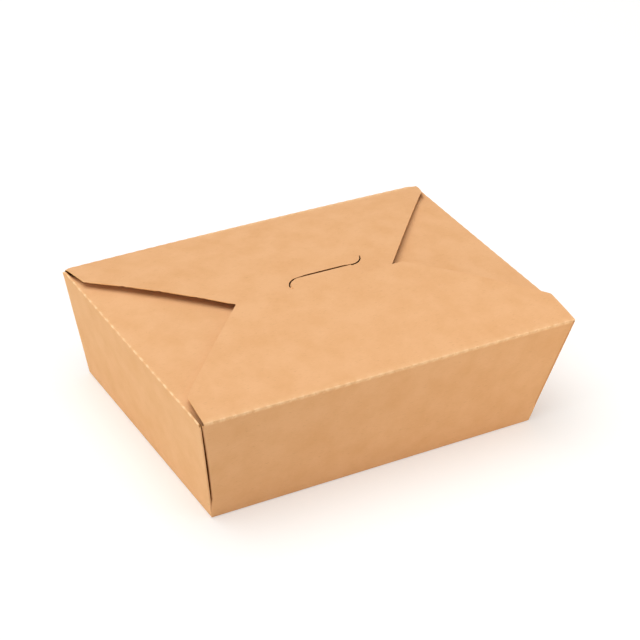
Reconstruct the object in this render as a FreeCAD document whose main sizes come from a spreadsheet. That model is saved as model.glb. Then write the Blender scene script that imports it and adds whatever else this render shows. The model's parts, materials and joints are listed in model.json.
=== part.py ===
import FreeCAD, Part
import os
import Sketcher

# Folding takeaway box: one die-cut blank of kraft board, folded and glued into a tray
# with four flaps on top. The base lies on the XY plane, the origin is the middle of its
# underside, +X runs along the long sides and -Y is the side that carries the front flap.

V = FreeCAD.Vector
X_AXIS = V(1, 0, 0)
Y_AXIS = V(0, 1, 0)
Z_AXIS = V(0, 0, 1)

# Every size that can be chosen by itself, in millimetres
DRIVING_SIZES = {
    "top_length": 222.0,          # over the end folds at the rim
    "top_width": 153.0,           # over the long folds at the rim
    "height": 65.8,               # underside of the base to the rim folds
    "end_lean": 14.5,             # how far each end wall leans out over the height
    "side_lean": 7.6,             # how far each long wall leans out over the height
    "board": 0.45,                # thickness of the kraft board
    "fold_radius": 0.8,           # outside radius of the base and corner folds
    "fold_gap": 0.2,              # between a wall's top edge and the flap hinged over it
    "corner_gap": 0.3,            # width of the slit beside each end wall
    "corner_gap_depth": 1.3,      # how deep that slit runs behind the long wall's face
    "corner_gap_start": 4.0,      # height above the table where the slit opens
    "end_flap_length": 70.0,      # end fold to the end flap's free edge
    "end_flap_inset": 4.8,        # end flap's root, in from the corner of the rim
    "end_flap_narrowing": 18.0,   # further in at its free edge
    "end_flap_dip": 2.5,          # how far its free edge lies under the rim
    "flap_rise": 8.5,             # how far the long flaps bow up at the middle of the box
    "flap_gap": 0.2,              # between the front flap and the rear flap under it
    "flap_end_gap": 0.7,          # long flap's root, in from the end of the rim
    "flap_corner_inset": 2.2,     # long flap's side corners, in from the end of the rim
    "front_side": 19.5,           # front flap's short side edges
    "front_edge_half": 50.2,      # half of the front flap's straight free edge
    "edge_before_middle": 2.2,    # front flap's free edge, short of the middle of the box
    "rear_side_left": 23.2,       # rear flap's short side edge at the left end
    "rear_side_right": 10.8,      # the same at the right end
    "rear_edge_left": 45.7,       # rear flap's free edge, left end to the middle
    "rear_edge_right": 38.7,      # the same, right end to the middle
    "rear_overlap": 6.7,          # rear flap's free edge, past the middle under the front flap
    "slit_centre": 8.05,          # middle of the lock slit, to the right of the box's middle
    "slit_line": 7.8,            # straight part of the slit, behind the middle
    "slit_straight": 33.1,        # length of that straight part
    "slit_hook_radius": 8.5,      # radius of the hook at each end of the slit
    "slit_left_turn": 95.0,       # degrees that the left hook turns, towards the front
    "slit_right_turn": 75.0,      # degrees that the right hook turns, towards the back
    "slit_width": 1.2,            # opening of the slit
    "tongue_side_gap": 1.5,       # tongue's sides, in from the ends of the straight part
    "tongue_drop": 3.0,           # how deep the tongue's edge is tucked through the slit
}

# Sizes that follow from the driving ones
WORKED_SIZES = {
    "wall_top": "sizes.height - sizes.board - sizes.fold_gap",
    "end_slope": "sizes.end_lean / sizes.height",
    "side_slope": "sizes.side_lean / sizes.height",
    "base_half_length": "sizes.top_length / 2 - sizes.end_lean",
    "base_half_width": "sizes.top_width / 2 - sizes.side_lean",
    "end_slant": "sqrt(1 + end_slope ^ 2)",
    "side_slant": "sqrt(1 + side_slope ^ 2)",
    "end_wall_run": "sizes.board * end_slant",
    "side_wall_run": "sizes.board * side_slant",
    "end_edge_angle": "atan(side_slope / end_slant)",
    "side_edge_angle": "atan(end_slope / side_slant)",
    "web_half_angle": "(90 deg - end_edge_angle - side_edge_angle) / 2",
    "web_run": "tan(web_half_angle - end_edge_angle) * end_slant",
    "fold_y": "sizes.top_width / 2 - sizes.board / 2",
    "fold_z": "sizes.height - sizes.board / 2",
    "rear_rise": "sizes.flap_rise - sizes.board - sizes.flap_gap",
    "front_bow_radius": "(fold_y ^ 2 + sizes.flap_rise ^ 2) / (2 * sizes.flap_rise)",
    "rear_bow_radius": "(fold_y ^ 2 + rear_rise ^ 2) / (2 * rear_rise)",
    "slit_left": "sizes.slit_centre - sizes.slit_straight / 2",
    "slit_right": "sizes.slit_centre + sizes.slit_straight / 2",
    "tongue_width": "sizes.slit_straight - 2 * sizes.tongue_side_gap",
    "cut_low": "sizes.height - sizes.flap_rise",
    "cut_tall": "3 * sizes.flap_rise",
}

doc = FreeCAD.newDocument("takeaway_box")


def fill_sheet(name, rows, sign=""):
    """Spreadsheet with one aliased cell for each named size."""
    sheet = doc.addObject("Spreadsheet::Sheet", name)
    for row, (alias, value) in enumerate(rows.items(), start=1):
        sheet.set("A%d" % row, alias)
        sheet.setAlias("B%d" % row, alias)
        sheet.set("B%d" % row, sign + str(value))
    doc.recompute()
    return sheet


def bind(item, expressions):
    """Tie properties of an object to sheet expressions."""
    for path, expression in expressions.items():
        item.setExpression(path, expression)
    return item


def add(kind, name, expressions, turn=None):
    """Primitive with bound sizes, turned in place where a rotation is given."""
    item = doc.addObject(kind, name)
    if turn:
        item.Placement = FreeCAD.Placement(V(), turn)
    return bind(item, expressions)


def fuse(name, shapes):
    """Union of several objects."""
    item = doc.addObject("Part::MultiFuse", name)
    item.Shapes = shapes
    return item


def cut(name, base, tool):
    """One object with another taken out of it."""
    item = doc.addObject("Part::Cut", name)
    item.Base = base
    item.Tool = tool
    return item


def common(name, shapes):
    """What several objects share."""
    item = doc.addObject("Part::MultiCommon", name)
    item.Shapes = shapes
    return item


def mirrored(name, source, normal):
    """Copy of an object on the other side of a middle plane."""
    item = doc.addObject("Part::Mirroring", name)
    item.Source = source
    item.Base = V()
    item.Normal = normal
    return item


def with_mirror(name, source, normal):
    """An object together with its mirrored copy."""
    return fuse(name, [source, mirrored(name + "_copy", source, normal)])


def outline(name, corners):
    """Tall prism over a flat outline, given as pairs of expressions for x and y."""
    sketch = doc.addObject("Sketcher::SketchObject", name + "_outline")
    spots = [V(*[float(sketch.evalExpression(side)) for side in corner]) for corner in corners]
    for number, spot in enumerate(spots):
        following = spots[(number + 1) % len(spots)]
        sketch.addGeometry(Part.LineSegment(spot, following))
    for number, corner in enumerate(corners):
        neighbour = (number + 1) % len(corners)
        sketch.addConstraint(Sketcher.Constraint("Coincident", number, 2, neighbour, 1))
        for direction, side, value in zip("XY", corner, spots[number]):
            rule = Sketcher.Constraint("Distance" + direction, number, 1, value)
            place = sketch.addConstraint(rule)
            sketch.setExpression("Constraints[%d]" % place, side)
    sketch.setExpression(".Placement.Base.z", "worked.cut_low")
    prism = doc.addObject("Part::Extrusion", name)
    prism.Base = sketch
    prism.DirMode = "Custom"
    prism.Dir = Z_AXIS
    prism.Solid = True
    return bind(prism, {"LengthFwd": "worked.cut_tall"})


def tilted_block(kind, name, owner, low, high, half_x, half_y):
    """Upright block between two heights; each half size is a pair, below and above."""
    item = owner.newObject(kind, name) if owner else doc.addObject(kind, name)
    item.Placement = FreeCAD.Placement(V(), FreeCAD.Rotation(X_AXIS, 90))
    return bind(item, {
        "Ymax": high,
        "Ymin": low,
        "Xmin": "-(%s)" % half_x[0],
        "Xmax": half_x[0],
        "X2min": "-(%s)" % half_x[1],
        "X2max": half_x[1],
        "Zmin": "-(%s)" % half_y[0],
        "Zmax": half_y[0],
        "Z2min": "-(%s)" % half_y[1],
        "Z2max": half_y[1],
    })


def edges_from_base(shape):
    """Names of the edges that lie on the base's underside or rise from it."""
    return [
        "Edge%d" % number
        for number, edge in enumerate(shape.Edges, start=1)
        if edge.BoundBox.ZMin < DRIVING_SIZES["board"]
    ]


def length_at(level):
    """Half length over the end walls at a height."""
    return "worked.base_half_length + worked.end_slope * (%s)" % level


def width_at(level):
    """Half width over the long walls at a height."""
    return "worked.base_half_width + worked.side_slope * (%s)" % level


# Tray: base and four leaning walls, folded with a small radius
def make_tray():
    body = doc.addObject("PartDesign::Body", "tray")
    top = "worked.wall_top"
    block = tilted_block(
        "PartDesign::AdditiveWedge", "tray_block", body, "0", top,
        (length_at("0"), length_at(top)), (width_at("0"), width_at(top)))
    doc.recompute()
    rounded = body.newObject("PartDesign::Fillet", "tray_folds")
    rounded.Base = (block, edges_from_base(block.Shape))
    bind(rounded, {"Radius": "sizes.fold_radius"})
    doc.recompute()
    floor = "sizes.board"
    above = "sizes.height"
    tilted_block(
        "PartDesign::SubtractiveWedge", "tray_hollow", body, floor, above,
        (length_at(floor) + " - worked.end_wall_run", length_at(above) + " - worked.end_wall_run"),
        (width_at(floor) + " - worked.side_wall_run", width_at(above) + " - worked.side_wall_run"))
    doc.recompute()
    return body


# Corner webs: the board between two walls is folded in double and glued behind the end wall
def make_corner_webs():
    web = add("Part::Wedge", "corner_web", {
        "Ymin": "sizes.board / 2",
        "Ymax": "worked.wall_top",
        "Xmin": "-(%s) + worked.end_wall_run / 2" % length_at("sizes.board / 2"),
        "Xmax": "-(%s) + 3 * worked.end_wall_run" % length_at("sizes.board / 2"),
        "X2min": "-(%s) + worked.end_wall_run / 2" % length_at("worked.wall_top"),
        "X2max": "-(%s) + 3 * worked.end_wall_run" % length_at("worked.wall_top"),
        "Zmin": "worked.base_half_width - sizes.board - worked.web_run * sizes.board",
        "Zmax": "%s - worked.side_wall_run / 2" % width_at("sizes.board / 2"),
        "Z2min": "worked.base_half_width - worked.web_run * worked.wall_top",
        "Z2max": "%s - worked.side_wall_run / 2" % width_at("worked.wall_top"),
    }, FreeCAD.Rotation(X_AXIS, 90))
    return with_mirror("corner_webs", with_mirror("end_webs", web, Y_AXIS), X_AXIS)


# Corner slits: a narrow gap between the end wall's edge and the fold of the long wall
def make_corner_slits():
    start = "sizes.corner_gap_start"
    above = "sizes.height"
    middle = "2 * worked.end_wall_run"
    slit = add("Part::Wedge", "corner_slit", {
        "Ymin": start,
        "Ymax": above,
        "Xmin": "-(%s) + %s - sizes.corner_gap / 2" % (length_at(start), middle),
        "Xmax": "-(%s) + %s + sizes.corner_gap / 2" % (length_at(start), middle),
        "X2min": "-(%s) + %s - sizes.corner_gap / 2" % (length_at(above), middle),
        "X2max": "-(%s) + %s + sizes.corner_gap / 2" % (length_at(above), middle),
        "Zmin": "%s - sizes.corner_gap_depth" % width_at(start),
        "Zmax": "%s + sizes.board" % width_at(start),
        "Z2min": "%s - sizes.corner_gap_depth" % width_at(above),
        "Z2max": "%s + sizes.board" % width_at(above),
    }, FreeCAD.Rotation(X_AXIS, 90))
    return with_mirror("corner_slits", with_mirror("end_slits", slit, Y_AXIS), X_AXIS)


# End flaps: folded in first, flat, their free edges a little under the rim
def make_end_flaps():
    root_half = "(sizes.top_width / 2 - sizes.end_flap_inset)"
    edge_half = "(%s - sizes.end_flap_narrowing)" % root_half
    panel = add("Part::Wedge", "end_flap_panel", {
        "Ymin": "-sizes.top_length / 2 + sizes.board",
        "Ymax": "-sizes.top_length / 2 + sizes.end_flap_length",
        "Xmin": "-" + root_half,
        "Xmax": root_half,
        "X2min": "-" + edge_half,
        "X2max": edge_half,
        "Zmin": "sizes.height - sizes.board",
        "Zmax": "sizes.height",
        "Z2min": "sizes.height - sizes.board - sizes.end_flap_dip",
        "Z2max": "sizes.height - sizes.end_flap_dip",
    }, FreeCAD.Rotation(Z_AXIS, -90))
    fold = add("Part::Cylinder", "end_flap_fold", {
        "Radius": "sizes.board",
        "Height": "2 * " + root_half,
        ".Placement.Base.x": "-sizes.top_length / 2 + sizes.board",
        ".Placement.Base.y": root_half,
        ".Placement.Base.z": "sizes.height - sizes.board",
    }, FreeCAD.Rotation(X_AXIS, 90))
    low = "worked.wall_top - sizes.board"
    high = "sizes.height - sizes.board"
    strip = add("Part::Wedge", "end_flap_strip", {
        "Ymin": low,
        "Ymax": high,
        "Xmin": "-(%s)" % length_at(low),
        "Xmax": "-(%s) + worked.end_wall_run" % length_at(low),
        "X2min": "-(%s)" % length_at(high),
        "X2max": "-(%s) + worked.end_wall_run" % length_at(high),
        "Zmin": "-" + root_half,
        "Zmax": root_half,
        "Z2min": "-" + root_half,
        "Z2max": root_half,
    }, FreeCAD.Rotation(X_AXIS, 90))
    return with_mirror("end_flaps", fuse("end_flap", [panel, fold, strip]), X_AXIS)


def make_bowed_sheet(name, radius, rise):
    """Sheet of board bowed about the long direction, highest over the box's middle."""
    def round_bar(side, offset):
        return add("Part::Cylinder", name + side, {
            "Radius": "%s %s sizes.board / 2" % (radius, offset),
            "Height": "sizes.top_length",
            ".Placement.Base.x": "-sizes.top_length / 2",
            ".Placement.Base.z": "worked.fold_z + %s - %s" % (rise, radius),
        }, FreeCAD.Rotation(Y_AXIS, 90))

    return cut(name, round_bar("_upper_face", "+"), round_bar("_lower_face", "-"))


def make_hook(name, centre, turn, start_angle):
    """Curved end of the slit, from its start angle anticlockwise."""
    def disc(side, offset):
        return add("Part::Cylinder", name + side, {
            "Radius": "sizes.slit_hook_radius %s sizes.slit_width / 2" % offset,
            "Height": "worked.cut_tall",
            "Angle": turn,
            ".Placement.Base.x": centre[0],
            ".Placement.Base.y": centre[1],
            ".Placement.Base.z": "worked.cut_low",
        }, FreeCAD.Rotation(Z_AXIS, start_angle))

    return cut(name, disc("_outer", "+"), disc("_inner", "-"))


# Lock slit: a long S through the rear flap, its left hook forward and its right hook back
def make_lock_slit():
    straight = add("Part::Box", "slit_straight_part", {
        "Length": "sizes.slit_straight",
        "Width": "sizes.slit_width",
        "Height": "worked.cut_tall",
        ".Placement.Base.x": "worked.slit_left",
        ".Placement.Base.y": "sizes.slit_line - sizes.slit_width / 2",
        ".Placement.Base.z": "worked.cut_low",
    })
    left_centre = ("worked.slit_left", "sizes.slit_line - sizes.slit_hook_radius")
    right_centre = ("worked.slit_right", "sizes.slit_line + sizes.slit_hook_radius")
    left = make_hook("slit_left_hook", left_centre, "sizes.slit_left_turn", 90)
    right = make_hook("slit_right_hook", right_centre, "sizes.slit_right_turn", 270)
    return fuse("lock_slit", [straight, left, right])


# Rear flap: bowed panel that the lock slit is cut through
def make_rear_flap():
    side_x = "(sizes.top_length / 2 - sizes.flap_corner_inset)"
    root_x = "(sizes.top_length / 2 - sizes.flap_end_gap)"
    shape = outline("rear_flap_plan", [
        ("-" + root_x, "worked.fold_y"),
        ("-" + side_x, "sizes.top_width / 2 - sizes.rear_side_left"),
        ("-sizes.rear_edge_left", "-sizes.rear_overlap"),
        ("sizes.rear_edge_right", "-sizes.rear_overlap"),
        (side_x, "sizes.top_width / 2 - sizes.rear_side_right"),
        (root_x, "worked.fold_y"),
    ])
    sheet = make_bowed_sheet("rear_bow", "worked.rear_bow_radius", "worked.rear_rise")
    panel = cut("rear_flap_panel", common("rear_flap_blank", [sheet, shape]), make_lock_slit())
    fold = add("Part::Cylinder", "rear_fold", {
        "Radius": "sizes.board",
        "Height": "2 * " + root_x,
        ".Placement.Base.x": "-" + root_x,
        ".Placement.Base.y": "sizes.top_width / 2 - sizes.board",
        ".Placement.Base.z": "sizes.height - sizes.board",
    }, FreeCAD.Rotation(Y_AXIS, 90))
    low = "worked.wall_top - sizes.board"
    high = "sizes.height - sizes.board"
    strip = add("Part::Wedge", "rear_strip", {
        "Ymin": low,
        "Ymax": high,
        "Xmin": "-" + root_x,
        "Xmax": root_x,
        "X2min": "-" + root_x,
        "X2max": root_x,
        "Zmin": "-(%s)" % width_at(low),
        "Zmax": "-(%s) + worked.side_wall_run" % width_at(low),
        "Z2min": "-(%s)" % width_at(high),
        "Z2max": "-(%s) + worked.side_wall_run" % width_at(high),
    }, FreeCAD.Rotation(X_AXIS, 90))
    return [panel, fold, strip]


# Tongue: the middle of the front flap, reaching back as far as the lock slit
def make_tongue_plan():
    return add("Part::Box", "tongue_plan", {
        "Length": "worked.tongue_width",
        "Width": "sizes.slit_line + sizes.rear_overlap",
        "Height": "worked.cut_tall",
        ".Placement.Base.x": "worked.slit_left + sizes.tongue_side_gap",
        ".Placement.Base.y": "-sizes.rear_overlap",
        ".Placement.Base.z": "worked.cut_low",
    })


# Front flap: hinged on the front fold, bowed over the rear flap and tucked into its slit
def make_front_flap():
    side_x = "(sizes.top_length / 2 - sizes.flap_corner_inset)"
    root_x = "(sizes.top_length / 2 - sizes.flap_end_gap)"
    side_y = "-sizes.top_width / 2 + sizes.front_side"
    shape = outline("front_flap_plan", [
        ("-" + root_x, "-worked.fold_y"),
        (root_x, "-worked.fold_y"),
        (side_x, side_y),
        ("sizes.front_edge_half", "-sizes.edge_before_middle"),
        ("-sizes.front_edge_half", "-sizes.edge_before_middle"),
        ("-" + side_x, side_y),
    ])
    plan = fuse("front_flap_whole_plan", [shape, make_tongue_plan()])
    sheet = make_bowed_sheet("front_bow", "worked.front_bow_radius", "sizes.flap_rise")
    panel = common("front_flap_panel", [sheet, plan])
    fold = add("Part::Cylinder", "front_fold", {
        "Radius": "sizes.board / 2",
        "Height": "2 * " + root_x,
        ".Placement.Base.x": "-" + root_x,
        ".Placement.Base.y": "-worked.fold_y",
        ".Placement.Base.z": "worked.fold_z",
    }, FreeCAD.Rotation(Y_AXIS, 90))
    tucked = add("Part::Box", "tongue_tucked_edge", {
        "Length": "worked.tongue_width",
        "Width": "sizes.board",
        "Height": "sizes.tongue_drop",
        ".Placement.Base.x": "worked.slit_left + sizes.tongue_side_gap",
        ".Placement.Base.y": "sizes.slit_line - sizes.board / 2",
        ".Placement.Base.z": "worked.fold_z + sizes.flap_rise - sizes.tongue_drop - sizes.board / 2",
    })
    return fuse("front_flap", [panel, fold, tucked])


fill_sheet("sizes", DRIVING_SIZES)
fill_sheet("worked", WORKED_SIZES, "=")

tray = cut("glued_tray", fuse("tray_with_webs", [make_tray(), make_corner_webs()]), make_corner_slits())
box_body = fuse("box_body", [tray, make_end_flaps()] + make_rear_flap())
front_flap = make_front_flap()
doc.recompute()

for item in doc.Objects:
    if "Invalid" in item.State or "Error" in item.State:
        raise RuntimeError("%s failed to compute" % item.Name)

os.makedirs("parts", exist_ok=True)
for piece in (box_body, front_flap):
    if piece.Shape.isNull() or not piece.Shape.isValid():
        raise RuntimeError("%s has no valid shape" % piece.Label)
    piece.Shape.exportStep("parts/%s.step" % piece.Label)
    print(piece.Label, len(piece.Shape.Solids), "solid(s)", round(piece.Shape.Volume, 2), "mm3")
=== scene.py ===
"""Closed folding takeaway box of plain kraft board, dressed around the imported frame."""

import json
import logging
import math
from dataclasses import dataclass
from enum import Enum
from typing import Any, Callable, Iterable, Sequence

import bmesh
import bpy
from mathutils import Matrix, Vector


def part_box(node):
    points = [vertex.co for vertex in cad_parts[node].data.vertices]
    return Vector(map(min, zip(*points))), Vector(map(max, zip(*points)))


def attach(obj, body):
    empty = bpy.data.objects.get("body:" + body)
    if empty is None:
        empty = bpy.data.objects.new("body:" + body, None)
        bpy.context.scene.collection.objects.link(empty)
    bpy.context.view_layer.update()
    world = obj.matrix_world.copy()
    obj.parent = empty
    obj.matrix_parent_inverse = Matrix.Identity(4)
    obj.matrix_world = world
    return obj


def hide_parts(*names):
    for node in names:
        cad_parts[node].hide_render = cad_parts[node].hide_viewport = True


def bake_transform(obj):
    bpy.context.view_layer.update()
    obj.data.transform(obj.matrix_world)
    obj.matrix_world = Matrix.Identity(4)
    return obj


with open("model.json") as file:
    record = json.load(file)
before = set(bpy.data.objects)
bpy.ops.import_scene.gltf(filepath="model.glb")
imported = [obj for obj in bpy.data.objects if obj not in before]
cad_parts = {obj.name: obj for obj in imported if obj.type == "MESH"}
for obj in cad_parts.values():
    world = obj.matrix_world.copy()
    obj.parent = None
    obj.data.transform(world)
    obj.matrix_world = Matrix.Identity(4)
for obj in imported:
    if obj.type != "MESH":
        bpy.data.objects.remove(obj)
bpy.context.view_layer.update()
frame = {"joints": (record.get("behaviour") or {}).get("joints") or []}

MM = 0.001
SAME = 1e-6  # places closer than this, in metres, are one place
NEAR = 1e-5  # the same, after several steps of rounding
CUT_SNAP = 1e-7  # how close to a vertex a cut may pass without moving onto it
FACING = 0.8  # a wall's normals point at least this much out to its side
WHITE = (1.0, 1.0, 1.0, 1.0)
LOG = logging.getLogger("takeaway_box")

Pair = tuple[float, float]
Spot = tuple[float, float, float]
Test = Callable[[Any], bool]
Rule = Callable[[Vector], Vector]
Row = Callable[[float], Pair]
Socket = bpy.types.NodeSocket


class Side(Enum):
    """The four sides of the box, each with its outward direction in plan."""

    FRONT = (0.0, -1.0)
    REAR = (0.0, 1.0)
    LEFT = (-1.0, 0.0)
    RIGHT = (1.0, 0.0)

    @property
    def is_long(self) -> bool:
        """True for the two long sides."""
        return self in (Side.FRONT, Side.REAR)

    def spot(self, out: float, along: float, z: float) -> Vector:
        """Point at a distance out from the middle, along the side, at a height."""
        x, y = (along, out * self.value[1]) if self.is_long else (out * self.value[0], along)
        return Vector((x, y, z))

    def along(self, point: Vector) -> float:
        """How far along the side a point lies."""
        return point.x if self.is_long else point.y

    def out(self, point: Vector) -> float:
        """How far out to the side a point lies."""
        return point.x * self.value[0] + point.y * self.value[1]

    def faces(self, normal: Vector) -> bool:
        """True if a face with this normal belongs to the side's wall."""
        return self.out(normal) > FACING


@dataclass(frozen=True)
class BoxSizes:
    """Sizes of the folded box in metres; its overall sizes come from the frame."""

    half_length: float
    half_width: float
    rim: float
    flap_rise: float  # of the front flap's bow over the rim
    tongue_end: float  # how far behind the middle the tongue ends
    board: float = 0.45 * MM
    end_lean: float = 14.5 * MM
    side_lean: float = 7.6 * MM
    base_fold: float = 0.9 * MM  # outside radius of the folds round the base
    long_fold: float = 0.9 * MM  # of the long sides' rim folds
    end_fold: float = 0.6 * MM  # of the ends' rim folds
    flap_gap: float = 0.2 * MM  # between the rear flap and the front one
    rim_drop: float = 1.25 * MM  # from the rim down to where the walls end
    seam_drop: float = 2.2 * MM  # and to where the front flap's sheet begins
    score_pitch: float = 6.35 * MM  # from nick to nick

    @classmethod
    def from_frame(cls) -> "BoxSizes":
        """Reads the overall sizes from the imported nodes.

        Returns:
            The sizes of the box as packed.
        """
        body_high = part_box("box_body")[1]
        flap_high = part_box("front_flap")[1]
        pivot_height = frame["joints"][0]["pos_m"][2]
        rim = pivot_height + cls.board / 2
        return cls(
            half_length=body_high[0],
            half_width=body_high[1],
            rim=rim,
            flap_rise=flap_high[2] - rim,
            tongue_end=flap_high[1],
        )

    def length_at(self, z: float) -> float:
        """Half length over the end walls at a height."""
        return self.half_length - self.end_lean * (1 - z / self.rim)

    def width_at(self, z: float) -> float:
        """Half width over the long walls at a height."""
        return self.half_width - self.side_lean * (1 - z / self.rim)

    def reach(self, side: Side) -> float:
        """Half size at the rim, out to a side."""
        return self.half_width if side.is_long else self.half_length

    def fold_radius(self, side: Side) -> float:
        """Outside radius of a side's rim fold."""
        return self.long_fold if side.is_long else self.end_fold

    def lean(self, side: Side) -> float:
        """How far a side's wall leans out over the height."""
        return self.side_lean if side.is_long else self.end_lean


def spaced(first: float, last: float, rows: int) -> list[float]:
    """Places in equal steps from a first one, which is left out, to a last one."""
    return [first + (last - first) * row / rows for row in range(1, rows + 1)]


def smooth_step(value: float) -> float:
    """Eased ramp from 0 to 1."""
    clipped = min(1.0, max(0.0, value))
    return clipped * clipped * (3 - 2 * clipped)


@dataclass(frozen=True)
class RimFold:
    """Rounded fold between a leaning wall and a flap that lies on a large circle.

    Worked out in the upright plane across the fold, as (distance out, height).
    """

    sizes: BoxSizes
    side: Side
    bow_centre: Vector
    bow_radius: float

    def wall_direction(self) -> Vector:
        """Unit direction up the outside of the wall."""
        return Vector((self.sizes.lean(self.side), self.sizes.rim)).normalized()

    def fold_centre(self) -> Vector:
        """Finds the small fold that touches both the wall and the flap.

        Returns:
            Its centre.
        """
        upward = self.wall_direction()
        outward = Vector((upward.y, -upward.x))
        foot = Vector((self.sizes.reach(self.side) - self.sizes.lean(self.side), 0.0))
        radius = self.sizes.fold_radius(self.side)
        start = foot - outward * radius - self.bow_centre
        lead = start.dot(upward)
        reach = self.bow_radius - radius
        return self.bow_centre + start + upward * (
            -lead + math.sqrt(lead ** 2 - start.length_squared + reach ** 2))

    def fold_points(self, steps: int) -> list[Vector]:
        """Points over the fold, from the wall to the flap.

        Args:
            steps: how many stretches the fold is divided into.

        Returns:
            The points, the first on the wall and the last on the flap.
        """
        centre = self.fold_centre()
        upward = self.wall_direction()
        first = math.atan2(-upward.x, upward.y)
        towards = centre - self.bow_centre
        last = math.atan2(towards.y, towards.x)
        radius = self.sizes.fold_radius(self.side)
        return [centre + Vector((math.cos(turn), math.sin(turn))) * radius
                for turn in (first, *spaced(first, last, steps))]

    def bow_points(self, marks: Sequence[float]) -> list[Vector]:
        """Points on the flap's upper face at given distances out from the middle."""
        return [
            Vector((out, self.bow_centre.y
                    + math.sqrt(self.bow_radius ** 2 - (out - self.bow_centre.x) ** 2)))
            for out in marks]


class Bench:
    """One sheet on the bench: a mesh shaped in edit mode on elements picked in code."""

    def __init__(self, name: str) -> None:
        """Takes the object that the last primitive left active.

        Args:
            name: name of the finished piece.
        """
        self.piece = bpy.context.object
        self.piece.name = name
        self.piece.data.name = name
        bpy.ops.object.transform_apply(location=True, rotation=True, scale=True)
        bpy.ops.object.mode_set(mode="EDIT")

    def mesh(self) -> bmesh.types.BMesh:
        """The mesh under edit."""
        return bmesh.from_edit_mesh(self.piece.data)

    def pick(self, kind: str, test: Test) -> None:
        """Selects the vertices, edges or faces that pass a test, and nothing else.

        Args:
            kind: VERT, EDGE or FACE.
            test: tells of one element whether it is wanted.
        """
        bpy.ops.mesh.select_mode(type=kind)
        bpy.ops.mesh.select_all(action="DESELECT")
        mesh = self.mesh()
        elements = {"VERT": mesh.verts, "EDGE": mesh.edges, "FACE": mesh.faces}[kind]
        for element in elements:
            if test(element):
                element.select_set(True)
        mesh.select_flush_mode()
        bmesh.update_edit_mesh(self.piece.data)

    def place(self, rule: Rule) -> None:
        """Moves each selected vertex.

        Args:
            rule: gives a vertex's new place from its old one.
        """
        for vertex in self.mesh().verts:
            if vertex.select:
                vertex.co = rule(vertex.co)
        bmesh.update_edit_mesh(self.piece.data)

    def grow(self, rules: Iterable[Rule]) -> None:
        """Extrudes what is selected, row after row.

        Args:
            rules: one for each new row, to place it.
        """
        for rule in rules:
            bpy.ops.mesh.extrude_region_move()
            self.place(rule)

    def divide(self, direction: int, cuts: int) -> None:
        """Divides every edge that runs mainly along one axis, all round the sheet.

        Args:
            direction: 0 for X, 1 for Y, 2 for Z.
            cuts: how many cuts each edge gets.
        """
        mainly, shortest = 0.6, 10 * MM

        def runs_along(edge: bmesh.types.BMEdge) -> bool:
            """True for a long edge along the wanted axis."""
            span = edge.verts[1].co - edge.verts[0].co
            return abs(span[direction]) > max(mainly * span.length, shortest)

        self.pick("EDGE", runs_along)
        bpy.ops.mesh.subdivide_edgering(number_cuts=cuts, interpolation="LINEAR", smoothness=0)

    def trim(self, test: Test, point: Vector, outward: Vector) -> None:
        """Cuts picked faces along an upright plane and drops what lies outside it."""
        self.pick("FACE", test)
        bpy.ops.mesh.bisect(plane_co=point, plane_no=outward, clear_outer=True, threshold=CUT_SNAP)

    def set_aside(self, test: Test) -> None:
        """Hides the faces that pass a test, so that later work leaves them alone."""
        self.pick("FACE", test)
        bpy.ops.mesh.hide(unselected=False)

    def bring_back(self) -> None:
        """Shows again what was set aside."""
        bpy.ops.mesh.reveal(select=False)

    def finish(self) -> bpy.types.Object:
        """Leaves edit mode with doubles merged.

        Returns:
            The shaped object.
        """
        bpy.ops.mesh.select_all(action="SELECT")
        bpy.ops.mesh.remove_doubles(threshold=SAME)
        bpy.ops.object.mode_set(mode="OBJECT")
        return self.piece


def choose(piece: bpy.types.Object) -> None:
    """Makes a piece the only selected object, and the active one.

    Args:
        piece: the object to choose.
    """
    bpy.ops.object.select_all(action="DESELECT")
    piece.select_set(True)
    bpy.context.view_layer.objects.active = piece


def apply_modifier(piece: bpy.types.Object, kind: str, settings: dict[str, Any]) -> None:
    """Adds a modifier to a piece, sets it and applies it.

    Args:
        piece: the object to finish.
        kind: the modifier's type.
        settings: its properties and their values.
    """
    modifier = piece.modifiers.new(kind.title(), kind)
    for key, value in settings.items():
        setattr(modifier, key, value)
    choose(piece)
    bpy.ops.object.modifier_apply(modifier=modifier.name)


def score_ridge(along: float, pitch: float, sharp: float = 6.0, half_nick: float = 0.17) -> float:
    """Height of a cut-and-crease score along its fold: 1 on a nick, 0 between nicks."""
    phase = (along / pitch) % 1.0
    return smooth_step(1.0 + sharp * (half_nick - abs(phase - 0.5)))


@dataclass(frozen=True)
class BoardFinish:
    """One look of the board: its colours as sRGB hex, how rough it is and its grain."""

    name: str
    ground: str
    shade: str  # of the faint clouds
    fleck: str  # of dark fibres and specks
    pale: str  # of pale fibres
    score: str  # of the torn nicks on the folds
    roughness: float
    gloss: float = 0.0
    cockle: float = 0.0  # depth of the board's shallow waves, in millimetres
    fibre: float = 1.0  # how strongly the fibres show
    gap: str = "#6b3f14"  # painted shade of a slit between panels, where hardly any light reaches

    def material(self) -> bpy.types.Material:
        """The finish's material, made once."""
        known = bpy.data.materials.get(self.name)
        return known if known else BoardShader(self).material


def linear(colour: str) -> tuple[float, float, float, float]:
    """Turns an sRGB colour to linear.

    Args:
        colour: hex code such as #e8b27d.

    Returns:
        Red, green, blue and a full alpha.
    """
    parts = [int(colour[start:start + 2], 16) / 255 for start in (1, 3, 5)]
    red, green, blue = (
        part / 12.92 if part <= 0.04045 else ((part + 0.055) / 1.055) ** 2.4 for part in parts)
    return red, green, blue, 1.0


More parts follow.
